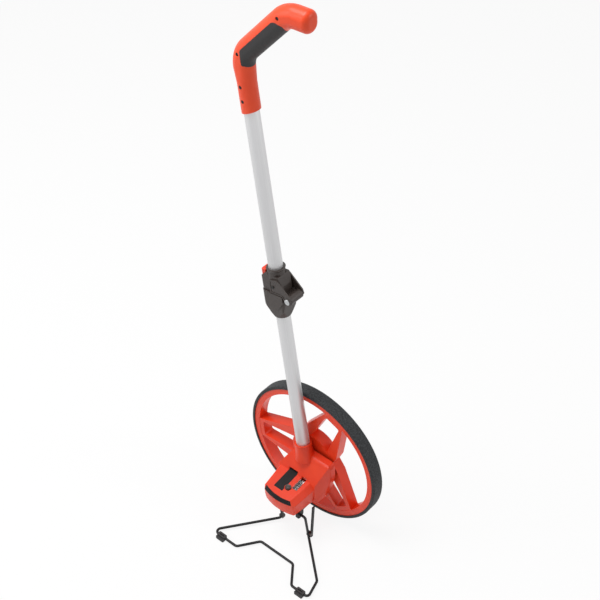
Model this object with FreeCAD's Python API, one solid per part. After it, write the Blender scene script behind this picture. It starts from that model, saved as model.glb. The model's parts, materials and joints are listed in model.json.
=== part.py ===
import FreeCAD, Part
import math
import os

# Measuring wheel: a spoked wheel rolls on its axle, a gear train in the
# cantilevered housing turns a five-drum counter, a folding pole carries the
# grip, and a wire stand under the housing holds it upright.
# Frame: +Z up, axle along Y, +X towards the user, origin where the tyre
# meets the ground under the wheel's mid-plane. Millimetres.

V = FreeCAD.Vector

# ---------------------------------------------------------------- sizes
# Wheel
roll_length = 914.4                        # ground covered in one turn
wheel_r = roll_length / (2 * math.pi)
tyre_width = 25.0
tyre_depth = 6.0
tyre_edge_r = 2.6
tyre_rib = 2.2                             # rib that keys the tyre in the rim
rim_width = 22.0
rim_depth = 11.3
rim_groove = 5.0                           # hollow moulded into the rim's back
hub_r = 46.0
hub_wall = 4.0
hub_face = 3.5
boss_r = 15.0
spoke_count = 3
spoke_angle = 67.5
spoke_foot = 42.0                          # half width at the hub
spoke_tip = 20.5                           # half width at the rim
window_foot = 21.0                         # half width of the spoke's window
window_tip = 16.0
window_top_gap = 9.5
spoke_wall = 3.0
face_gap = 3.0                             # wheel face to housing

# Axle and gears
axle_r = 4.0
run_gap = 0.05
seat_gap = 0.3
axle_back = 21.0
bush_wall = 2.5
bush_flange = 1.2
gear_module = 1.0
gear_width = 3.6
axle_teeth = 28
pinion_teeth = 14
lay_teeth = 30
drum_teeth = 20
lay_r = 2.0
sleeve_r = 3.6                             # tube that joins the last drum to its gear

# Counter
drum_count = 5
drum_pitch = 5.5
drum_gap = 0.4
drum_r = 9.4
drum_bore = 2.0
drum_x = 15.0
drum_z = 103.5
drum_start = -76.5
window_across = 9.4
knob_x = 3.4
knob_run = 24.0                            # up the top face from the lip
knob_r = 5.6

# Housing
wall = 2.6
nose_x = -1.0
nose_half = 36.0
nose_flare = 0.10
nose_front_r = 94.0
nose_foot_y = -103.5
nose_lean = 10.0
nose_corner_r = 22.0
floor_z = 75.0
lip_y = -105.0
lip_z = 112.0
top_slope = 9.0
top_bevel = 10.0
strip_slope = 42.0
back_y = -15.0
ramp_foot_y = -52.0
ramp_top_y = -30.0
shoulder_z = 164.0
shoulder_right = 59.0
shoulder_left = -45.0
plate_t = 3.0
gear_plate_y = -31.4

# Pole
pole_y = -28.5
pole_lean = 8.8
tube_r = 12.35
tube_wall = 1.2
tube_foot = 22.0
collar_r = 15.6
collar_top = 42.0

# Folding joint, measured along the pole from the axle
joint_foot = 333.0
joint_part = 384.0
joint_top = 428.0
joint_left = -25.0
joint_right = 24.0
joint_half = 17.0
pin_q = 32.0
pin_s = 378.0
pin_r = 3.0
knuckle_r = 8.0
cheek_t = 2.5
joint_collar_r = 15.2
fold_gap = 0.6
button_travel = 3.0

# Grip
grip_foot = 714.0
grip_bend = 800.0
grip_half = 15.2
grip_wall = 2.4
grip_swell = 2.6                           # extra half depth past the neck
grip_slant = 39.0
grip_bend_r = 42.0
grip_run = 95.0
grip_crest_r = 40.0
grip_tip_angle = -6.0
grip_tip = 28.0
tube_top = 806.0

# Stand
wire_r = 2.5
pivot_y = -83.0
pivot_z = 65.0
lug_r = 8.5
lug_t = 5.0
lug_left_x = -9.0
lug_right_x = 32.0
upright_left_x = -17.0
upright_right_x = 45.5
upright_foot_y = -74.0
upright_foot_z = 8.0
foot_line_y = -179.0
foot_t = 6.0


# ---------------------------------------------------------------- tools
def save(name, shape):
    if shape.ShapeType == "Compound" and len(shape.Solids) == 1:
        shape = shape.Solids[0]
    shape.exportStep("parts/%s.step" % name)


def box(x0, x1, y0, y1, z0, z1):
    return Part.makeBox(x1 - x0, y1 - y0, z1 - z0, V(x0, y0, z0))


def rod_y(x, z, r, y0, y1):
    return Part.makeCylinder(r, y1 - y0, V(x, y0, z), V(0, 1, 0))


def ring_y(x, z, r_in, r_out, y0, y1):
    return rod_y(x, z, r_out, y0, y1).cut(rod_y(x, z, r_in, y0 - 1, y1 + 1))


def rounded(points, radii):
    """Closed wire through the points with each corner rounded."""
    n = len(points)
    cuts = []
    for i in range(n):
        p = points[i]
        a = (points[i - 1] - p).normalize()
        b = (points[(i + 1) % n] - p).normalize()
        r = radii[i] if isinstance(radii, (list, tuple)) else radii
        half = a.getAngle(b) / 2
        reach = r / math.tan(half)
        mid = (a + b).normalize()
        centre = p + mid * (r / math.sin(half))
        cuts.append((p + a * reach, centre - mid * r, p + b * reach, r))
    edges = []
    for i in range(n):
        start, middle, end, r = cuts[i]
        if r > 0:
            edges.append(Part.Arc(start, middle, end).toShape())
        following = cuts[(i + 1) % n][0]
        if end.distanceToPoint(following) > 1e-6:
            edges.append(Part.makeLine(end, following))
    return Part.Wire(edges)


def prism(points, radii, along):
    return Part.Face(rounded(points, radii)).extrude(along)


def pick(shape, test):
    """Edges whose middle point passes the test."""
    found = []
    for edge in shape.Edges:
        middle = edge.valueAt((edge.FirstParameter + edge.LastParameter) / 2)
        if test(edge, middle):
            found.append(edge)
    return found


def soften(shape, radius, test):
    edges = pick(shape, test)
    return shape.makeFillet(radius, edges) if edges else shape


# ---------------------------------------------------------------- wheel
def at_axle(shape, angle=0.0):
    """Turn a piece drawn round the axle and lift it to the axle's height."""
    turned = shape.copy()
    turned.rotate(V(0, 0, 0), V(0, 1, 0), -angle)
    turned.translate(V(0, 0, wheel_r))
    return turned


def revolve_y(points):
    wire = Part.makePolygon(points + [points[0]])
    return Part.Face(wire).revolve(V(0, 0, 0), V(0, 1, 0), 360)


def wheel_parts():
    seat_r = wheel_r - tyre_depth
    rim_in = seat_r - rim_depth
    half = rim_width / 2
    profile = [(seat_r + 0.05, -tyre_width / 2)]
    for side in (-1, 1):
        for i in range(4):
            a = math.radians(90 - 30 * i if side < 0 else 30 * i)
            profile.append((wheel_r - tyre_edge_r + tyre_edge_r * math.cos(a),
                            side * (tyre_width / 2 - tyre_edge_r + tyre_edge_r * math.sin(a))))
    profile += [(seat_r + 0.05, tyre_width / 2), (seat_r + 0.05, 3.4), (seat_r - tyre_rib + 0.1, 3.4),
                (seat_r - tyre_rib + 0.1, -3.4), (seat_r + 0.05, -3.4)]
    save("tyre", at_axle(revolve_y([V(r, y, 0) for r, y in profile])))

    rim = ring_y(0, 0, rim_in, seat_r, -half, half)
    rim = rim.cut(ring_y(0, 0, seat_r - tyre_rib, seat_r + 1, -3.5, 3.5))
    middle_r = rim_in + rim_depth / 2 - tyre_rib / 2
    hollow = ring_y(0, 0, middle_r - rim_groove / 2, middle_r + rim_groove / 2, -half + 4, half + 1)
    drum = ring_y(0, 0, hub_r - hub_wall, hub_r, -half, half)
    drum = drum.fuse(rod_y(0, 0, hub_r - 1, -half, -half + hub_face))
    boss = rod_y(0, 0, boss_r, -half - 1, half)
    wheel = rim.fuse([drum, boss])
    for i in range(6):
        web = box(boss_r - 2, hub_r - 2, -half + 1, half - 3, -1.3, 1.3)
        web.rotate(V(0, 0, 0), V(0, 1, 0), 60.0 * i + 30)
        wheel = wheel.fuse(web)

    window_r = rim_in - window_top_gap

    def spoke_half(r):
        return spoke_foot + (spoke_tip - spoke_foot) * (r - hub_r) / (rim_in - hub_r)

    def window_half(r):
        return window_foot + (window_tip - window_foot) * (r - hub_r) / (window_r - hub_r)

    def flat(points, y0, y1):
        wire = Part.makePolygon([V(x, y0, z) for x, z in points + [points[0]]])
        return Part.Face(wire).extrude(V(0, y1 - y0, 0))

    foot_r = hub_r * 0.4
    tip_r = rim_in + 1
    blade = flat([(foot_r, -spoke_foot), (hub_r, -spoke_half(hub_r)), (tip_r, -spoke_half(tip_r)),
                  (tip_r, spoke_half(tip_r)), (hub_r, spoke_half(hub_r)), (foot_r, spoke_foot)],
                 -half + 0.5, half - 0.5)
    blade = blade.common(rod_y(0, 0, rim_in + 2, -half, half))
    blade = blade.cut(rod_y(0, 0, hub_r - 1, -half, half))
    outer_half, inner_half = window_half(window_r), window_half(hub_r)
    opening = prism([V(hub_r - 8, -half - 1, -inner_half), V(window_r, -half - 1, -outer_half),
                     V(window_r, -half - 1, outer_half), V(hub_r - 8, -half - 1, inner_half)],
                    4.0, V(0, rim_width + 2, 0))
    blade = blade.cut(opening)
    end_r = hub_r + (window_r - hub_r) * 0.72
    for side in (-1, 1):
        near, far = hub_r + spoke_wall, end_r
        pocket = flat([(near, side * (window_half(near) + spoke_wall)),
                       (far, side * (window_half(far) + spoke_wall)),
                       (far, side * (spoke_half(far) - spoke_wall)),
                       (near, side * (spoke_half(near) - spoke_wall))], -half + 4, half + 1)
        blade = blade.cut(pocket)
    for i in range(spoke_count):
        spoke = blade.copy()
        spoke.rotate(V(0, 0, 0), V(0, 1, 0), -spoke_angle - i * 360.0 / spoke_count)
        wheel = wheel.fuse(spoke)
    wheel = wheel.cut(hollow).cut(rod_y(0, 0, axle_r + 0.02, -50, 50)).removeSplitter()
    save("wheel", at_axle(wheel))


def hexagon(x, z, flats, y0, y1):
    corner = flats / math.sqrt(3)
    points = []
    for i in range(7):
        a = math.radians(60 * i)
        points.append(V(x + corner * math.cos(a), y0, z + corner * math.sin(a)))
    return Part.Face(Part.makePolygon(points)).extrude(V(0, y1 - y0, 0))


def axle_parts():
    half = rim_width / 2
    front = gear_plate_y - 0.5
    axle = rod_y(0, wheel_r, axle_r, front, axle_back)
    axle = axle.fuse(rod_y(0, wheel_r, axle_r + 2.4, -half - 2.2, -half - 1.05))
    save("axle", axle.removeSplitter())
    save("axle_washer", ring_y(0, wheel_r, axle_r + run_gap, 9.0, half + 0.02, half + 1.5))
    nut = hexagon(0, wheel_r, 13.0, half + 1.52, half + 7.5)
    nut = nut.common(Part.makeCone(7.7, 6.6, 6.2, V(0, half + 1.5, wheel_r), V(0, 1, 0)))
    save("axle_nut", nut.cut(rod_y(0, wheel_r, axle_r + run_gap, 0, 40)))
    bush = ring_y(0, wheel_r, axle_r + run_gap, axle_r + bush_wall, back_y - plate_t, back_y)
    bush = bush.fuse(ring_y(0, wheel_r, axle_r + run_gap, axle_r + bush_wall + 1.5,
                            back_y - plate_t - bush_flange, back_y - plate_t))
    save("axle_bush_rear", bush.removeSplitter())
    bush = ring_y(0, wheel_r, axle_r + run_gap, axle_r + bush_wall, gear_plate_y, gear_plate_y + 2.5)
    bush = bush.fuse(ring_y(0, wheel_r, axle_r + run_gap, axle_r + bush_wall + 1.5,
                            gear_plate_y + 2.5, gear_plate_y + 2.5 + bush_flange))
    save("axle_bush_front", bush.removeSplitter())


# ---------------------------------------------------------------- gears
def gear(x, z, teeth, y0, y1, bore, phase=0.0):
    """Spur gear with straight-flanked teeth and working backlash."""
    pitch_r = teeth * gear_module / 2
    outer = pitch_r + 0.75 * gear_module
    root = pitch_r - 1.0 * gear_module
    step = 2 * math.pi / teeth
    points = []
    for i in range(teeth):
        a = phase + i * step
        for r, share in ((root, -0.30), (outer, -0.13), (outer, 0.13), (root, 0.30)):
            t = a + share * step
            points.append(V(x + r * math.cos(t), y0, z + r * math.sin(t)))
    points.append(points[0])
    body = Part.Face(Part.makePolygon(points)).extrude(V(0, y1 - y0, 0))
    return body.cut(rod_y(x, z, bore, y0 - 1, y1 + 1)) if bore else body


def pair_distance(a, b):
    return (a + b) * gear_module / 2 + 0.1


def lay_centre():
    """Where the layshaft sits, in mesh with the axle gear and the drum gear."""
    d1 = pair_distance(axle_teeth, pinion_teeth)
    d2 = pair_distance(lay_teeth, drum_teeth)
    dx, dz = drum_x, drum_z - wheel_r
    d = math.hypot(dx, dz)
    along = (d1 * d1 - d2 * d2 + d * d) / (2 * d)
    off = math.sqrt(max(d1 * d1 - along * along, 0))
    ux, uz = dx / d, dz / d
    return ux * along + uz * off, wheel_r + uz * along - ux * off


def mesh_phase(direction, teeth_b, phase_a, teeth_a):
    """Phase that puts a gap of gear b against the tooth of gear a."""
    step_a = 2 * math.pi / teeth_a
    step_b = 2 * math.pi / teeth_b
    lead = ((direction - phase_a) / step_a) % 1.0
    back = direction + math.pi
    return back + (lead + 0.5) * step_b


def gear_parts():
    lay_x, lay_z = lay_centre()
    rear = back_y - plate_t - bush_flange - 0.4
    a0, a1 = rear - gear_width, rear
    save("axle_gear", gear(0, wheel_r, axle_teeth, a0, a1, axle_r + 0.02))
    towards = math.atan2(lay_z - wheel_r, lay_x)
    phase_p = mesh_phase(towards, pinion_teeth, 0.0, axle_teeth)
    q1 = a0 - 0.6
    q0 = q1 - gear_width
    pinion = gear(lay_x, lay_z, pinion_teeth, q1 - 0.5, a1, 0, phase_p)
    wheel = gear(lay_x, lay_z, lay_teeth, q0, q1, 0)
    shaft = rod_y(lay_x, lay_z, lay_r, gear_plate_y - 0.8, back_y - 0.8)
    save("lay_gear", shaft.fuse([pinion, wheel]).removeSplitter())
    towards = math.atan2(drum_z - lay_z, drum_x - lay_x)
    phase_d = mesh_phase(towards, drum_teeth, 0.0, lay_teeth)
    spin = gear(drum_x, drum_z, drum_teeth, q0 + 0.2, q1 - 0.2, drum_bore + run_gap, phase_d)
    for i in range(drum_count):
        y0 = drum_start + i * drum_pitch
        y1 = y0 + drum_pitch - drum_gap
        drum = ring_y(drum_x, drum_z, drum_bore + run_gap, drum_r, y0, y1)
        drum = drum.cut(ring_y(drum_x, drum_z, 4.0, drum_r - 1.5, y0 - 1, y1 - 1.5))
        if i == drum_count - 1:
            drum = drum.fuse(ring_y(drum_x, drum_z, drum_bore + run_gap, sleeve_r, y1 - 1.0, q0 + 0.5))
            drum = drum.fuse(spin).removeSplitter()
        save("counter_drum_%d" % (i + 1), drum)
    save("drum_shaft", rod_y(drum_x, drum_z, drum_bore, drum_start - 3.2, back_y - 0.5))
    frame = box(drum_x - 6, drum_x + 6, drum_start - 3.0, drum_start - 0.8, drum_z - 8, drum_z + 6)
    frame = frame.fuse(box(drum_x - 6, drum_x + 6, drum_start - 3.0, gear_plate_y - 0.05,
                           drum_z - 14, drum_z - 11.5))
    frame = frame.fuse(box(drum_x - 6, drum_x + 6, drum_start - 3.0, drum_start - 0.8, drum_z - 14,
                           drum_z))
    frame = frame.cut(rod_y(drum_x, drum_z, drum_bore + 0.02, -120, 0)).removeSplitter()
    save("counter_frame", frame)


# ---------------------------------------------------------------- housing
def on_top(shape):
    """Carry a piece drawn on the XY plane at the lip up to the top face."""
    moved = shape.copy()
    moved.rotate(V(0, 0, 0), V(1, 0, 0), top_slope)
    moved.translate(V(0, lip_y, lip_z))
    return moved


def nose_section(y, inset):
    """Outline of the housing's nose across the axle's direction at y."""
    spread = nose_flare * (y - lip_y)
    left, right = nose_x - nose_half - spread + inset, nose_x + nose_half + spread - inset
    roof = lip_z + (y - lip_y) * math.tan(math.radians(top_slope)) - inset
    shy = inset * math.tan(math.radians(22.5))
    points = [V(left + 2, y, floor_z + inset), V(right - 2, y, floor_z + inset),
              V(right, y, roof + inset - top_bevel - shy), V(right - top_bevel + inset - shy, y, roof),
              V(left, y, roof)]
    return rounded(points, [4, 4, 3, 3, 5])


def nose_form(inset, rear):
    body = Part.makeLoft([nose_section(-125.0, inset), nose_section(rear, inset)], True, True)
    foot = V(nose_x, nose_foot_y + nose_front_r, floor_z)
    front = Part.makeCylinder(nose_front_r - inset, 120, foot - V(0, 0, 20), V(0, 0, 1))
    front.rotate(foot, V(1, 0, 0), nose_lean)
    half = nose_half + 12 - inset
    y0 = lip_y - 6.5 + inset
    corner = nose_corner_r - inset
    plan = [V(nose_x - nose_half + 1 + inset, y0, 0), V(nose_x + nose_half - 1 - inset, y0, 0),
            V(nose_x + half, rear + 1, 0), V(nose_x - half, rear + 1, 0)]
    return body.common(front).common(prism(plan, [corner, corner, 0, 0], V(0, 0, 300)))


def shoulder_form(inset, rear):
    side = [V(-200, ramp_foot_y + inset, floor_z + inset), V(-200, rear, floor_z + inset),
            V(-200, rear, shoulder_z - inset), V(-200, ramp_top_y + inset * 0.6, shoulder_z - 2 - inset),
            V(-200, ramp_foot_y + inset, 119 - inset)]
    ramp = prism(side, [0, 0, 0, 9, 0], V(400, 0, 0))
    lo, hi = shoulder_left + inset, shoulder_right - inset
    front = [V(lo + 2, -100, floor_z + inset), V(47 - inset, -100, floor_z + inset),
             V(hi, -100, 128), V(hi - 2, -100, shoulder_z - inset), V(-22 + inset, -100, shoulder_z - inset),
             V(lo, -100, 122 - inset)]
    outline = prism(front, [5, 5, 24, 10, 8, 12], V(0, 100, 0))
    plan = [V(lo - 2, ramp_foot_y + inset, 0), V(41 - inset, ramp_foot_y + inset, 0),
            V(hi, -24, 0), V(hi, rear + 1, 0), V(lo - 2, rear + 1, 0)]
    plan = prism(plan, [0, 0, 12, 0, 0], V(0, 0, 300))
    return ramp.common(outline).common(plan)


def pole_frame(shape):
    """Carry a piece drawn along a pole that stands on the axle to its lean."""
    moved = shape.copy()
    moved.rotate(V(0, 0, 0), V(0, 1, 0), -pole_lean)
    moved.translate(V(0, pole_y, wheel_r))
    return moved


def housing_parts():
    outer = nose_form(0, back_y)
    shoulder = shoulder_form(0, back_y)
    collar = Part.makeCone(collar_r + 3, collar_r, 24, V(0, 0, 4))
    collar = collar.fuse(Part.makeCylinder(collar_r, collar_top - 28, V(0, 0, 28)))
    collar = pole_frame(collar)
    collar = collar.cut(box(-200, 200, back_y, 200, 0, 400))
    body = outer.fuse([shoulder, collar]).removeSplitter()
    facet = box(-200, 200, -200, 0, 0, 200)
    facet.rotate(V(0, 0, 0), V(1, 0, 0), strip_slope)
    facet.translate(V(0, lip_y, lip_z))
    body = body.cut(facet)
    cavity = nose_form(wall, back_y + 5).fuse(shoulder_form(wall, back_y + 5))
    guard = Part.makeCylinder(collar_r + 1.5, 60, V(0, 0, tube_foot - 4))
    cavity = cavity.cut(pole_frame(guard))
    facet_in = facet.copy()
    facet_in.translate(V(0, wall * 0.5, -wall * 1.1))
    cavity = cavity.cut(facet_in)
    body = body.cut(cavity)
    socket = Part.makeCylinder(tube_r + 0.1, 60, V(0, 0, tube_foot))
    body = body.cut(pole_frame(socket))
    # window, knob well, label bed and strip bed in the top face
    slot_y0 = drum_start - 0.6 - lip_y
    slot_len = drum_count * drum_pitch + 0.8
    window = box(drum_x - window_across / 2, drum_x + window_across / 2, slot_y0, slot_y0 + slot_len, -8, 5)
    ledge = box(drum_x - window_across / 2 - 1.0, drum_x + window_across / 2 + 1.0, slot_y0 - 1.0,
                slot_y0 + slot_len + 1.0, -1.2, 5)
    knob_at = V(knob_x, knob_run, 0)
    knob_well = Part.makeCylinder(knob_r + 0.25, 20, knob_at - V(0, 0, 10))
    knob_dish = Part.makeCylinder(knob_r + 1.0, 5, knob_at - V(0, 0, 0.8))
    bed = box(-21, -1, 12, 62, -0.8, 5).cut(Part.makeCylinder(knob_r + 1.6, 9, knob_at - V(0, 0, 4)))
    for tool in (window, ledge, knob_well, knob_dish, bed):
        body = body.cut(on_top(tool))
    # bosses for the rear plate's screws
    for x, z in plate_screws():
        boss = rod_y(x, z, 4.0, back_y - plate_t - 14, back_y - plate_t - 0.05)
        boss = boss.common(nose_form(0.5, back_y).fuse(shoulder_form(0.5, back_y)))
        body = body.fuse(boss).cut(rod_y(x, z, 1.25, back_y - plate_t - 10, back_y))
    # relief in the roof over the axle's gear
    body = body.cut(rod_y(0, wheel_r, gear_module * (axle_teeth / 2 + 1) + 0.6, -27.5, back_y - plate_t))
    # screw that holds the pole in the collar
    seat = Part.makeCylinder(3.3, 8, V(-14.15, 0, 31), V(-1, 0, 0))
    body = body.cut(pole_frame(seat.fuse(Part.makeCylinder(1.55, 8, V(-9, 0, 31), V(-1, 0, 0)))))
    # floor opening for the stand bracket's screws
    for x, y in bracket_screws():
        body = body.cut(Part.makeCylinder(1.55, 10, V(x, y, floor_z - 4)))
    save("housing", body.removeSplitter())

    lining = nose_form(wall + seat_gap, back_y + 5).fuse(shoulder_form(wall + seat_gap, back_y + 5))
    plate = lining.common(box(-200, 200, back_y - plate_t, back_y, 0, 400)).removeSplitter()
    plate = plate.cut(rod_y(0, wheel_r, axle_r + bush_wall + 0.02, -100, 100))
    lay_x, lay_z = lay_centre()
    plate = plate.cut(rod_y(lay_x, lay_z, lay_r + run_gap, -100, 0))
    plate = plate.cut(rod_y(drum_x, drum_z, drum_bore + 0.02, -100, 0))
    for x, z in pillars():
        plate = plate.cut(rod_y(x, z, 1.55, -100, 0))
    guard = Part.makeCylinder(collar_r + 1.5 + seat_gap, 60, V(0, 0, tube_foot - 4 - seat_gap))
    plate = plate.cut(pole_frame(guard))
    for x, z in plate_screws():
        plate = plate.cut(rod_y(x, z, 1.6, -100, 0))
    save("rear_plate", plate)

    inner = lining.common(box(-200, 200, gear_plate_y, gear_plate_y + 2.5, 0, 400)).removeSplitter()
    inner = inner.cut(rod_y(0, wheel_r, axle_r + bush_wall + 0.02, -100, 100))
    inner = inner.cut(rod_y(lay_x, lay_z, lay_r + run_gap, -100, 0))
    inner = inner.cut(rod_y(drum_x, drum_z, sleeve_r + 0.3, -100, 0))
    for x, z in plate_screws():
        inner = inner.cut(rod_y(x, z, 4.0 + seat_gap, -100, 0))
    for x, z in pillars():
        inner = inner.fuse([rod_y(x, z, 3.0, gear_plate_y + 1, back_y - plate_t - 0.02),
                            rod_y(x, z, 1.5, gear_plate_y + 1, back_y - 0.8)])
    save("gear_plate", inner.removeSplitter())

    for i, (x, z) in enumerate(plate_screws()):
        screw = rod_y(x, z, 1.2, back_y - plate_t - 8, back_y + 0.02)
        head = Part.makeCone(2.8, 2.0, 1.4, V(x, back_y + 0.02, z), V(0, 1, 0))
        head = head.cut(box(x - 0.4, x + 0.4, back_y + 0.8, back_y + 3, z - 3, z + 3))
        save("plate_screw_%d" % (i + 1), screw.fuse(head).removeSplitter())

    # clear window, label plate and nose strip
    lens = box(drum_x - window_across / 2 - 0.9, drum_x + window_across / 2 + 0.9, slot_y0 - 0.9,
               slot_y0 + slot_len + 0.9, -1.15, 0.15)
    save("counter_window", on_top(lens))
    label = prism([V(-20.8, 12.2, -0.7), V(-1.2, 12.2, -0.7), V(-1.2, 61.8, -0.7), V(-20.8, 61.8, -0.7)],
                  1.2, V(0, 0, 0.9))
    label = label.cut(Part.makeCylinder(knob_r + 1.8, 9, knob_at - V(0, 0, 4)))
    save("label_plate", on_top(label))
    strip = box(-200, 200, -60, -0.4, 0.05, 1.0)
    strip.rotate(V(0, 0, 0), V(1, 0, 0), strip_slope)
    strip.translate(V(0, lip_y, lip_z))
    lip = nose_form(0, back_y)
    fence = lip.copy()
    fence.translate(V(0, 0.5, 0.9))
    strip = strip.common(fence.fuse(lip))
    save("nose_strip", strip)

    knob = Part.makeCylinder(knob_r, 6.5, knob_at - V(0, 0, 4.0))
    knob = soften(knob, 1.2, lambda e, m: m.z > 2)
    stem = Part.makeCylinder(1.6, 8, knob_at - V(0, 0, 11.5))
    save("reset_knob", on_top(knob.fuse(stem).removeSplitter()))
    spring = flat_spring(2.2, 2.9, -9.7, -4.2)
    spring.translate(knob_at)
    save("reset_spring", on_top(spring))
    seat = Part.makeCylinder(3.4, 1.6, knob_at - V(0, 0, 11.4))
    seat = seat.fuse(box(knob_x, drum_x - 6, knob_run + 0.2, knob_run + 2.2, -11.4, -9.8))
    seat = seat.cut(Part.makeCylinder(1.65, 30, knob_at - V(0, 0, 20))).removeSplitter()
    seat = on_top(seat)
    save("reset_seat", seat.cut(box(drum_x - 6, 60, -200, 0, 0, 200)))

    screw = Part.makeCylinder(1.5, 4.6, V(-14.15, 0, 31), V(1, 0, 0))
    head = Part.makeCylinder(3.0, 1.2, V(-14.15, 0, 31), V(-1, 0, 0))
    save("collar_screw", pole_frame(screw.fuse(head).removeSplitter()))


def pillars():
    return ((-31.0, 94.0), (36.0, 94.0), (33.0, 143.0))


def flat_spring(r_in, r_out, z0, z1):
    """Flat-wire compression spring drawn as closed turns on one narrow stay."""
    turns = 5
    thick = (z1 - z0) / (2 * turns - 1.0)
    rings = []
    for i in range(turns):
        turn_of_wire = Part.makeCylinder(r_out, thick, V(0, 0, z0 + 2 * i * thick))
        rings.append(turn_of_wire.cut(Part.makeCylinder(r_in, thick, V(0, 0, z0 + 2 * i * thick))))
    stay = box(r_in + 0.1, r_out - 0.1, -0.3, 0.3, z0, z1)
    return stay.fuse(rings).removeSplitter()


def plate_screws():
    return ((-39.5, 86.0), (43.0, 86.0), (49.0, 150.0))


def bracket_screws():
    return ((3.0, -66.0), (20.0, -66.0))


# ---------------------------------------------------------------- folding joint
def slab(left, right, half, s, radius):
    """Rounded cross-section of the joint at height s along the pole."""
    return rounded([V(left, -half, s), V(right, -half, s), V(right, half, s), V(left, half, s)], radius)


def pin_bore(r):
    return Part.makeCylinder(r, 80, V(pin_q, -40, pin_s), V(0, 1, 0))


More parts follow.
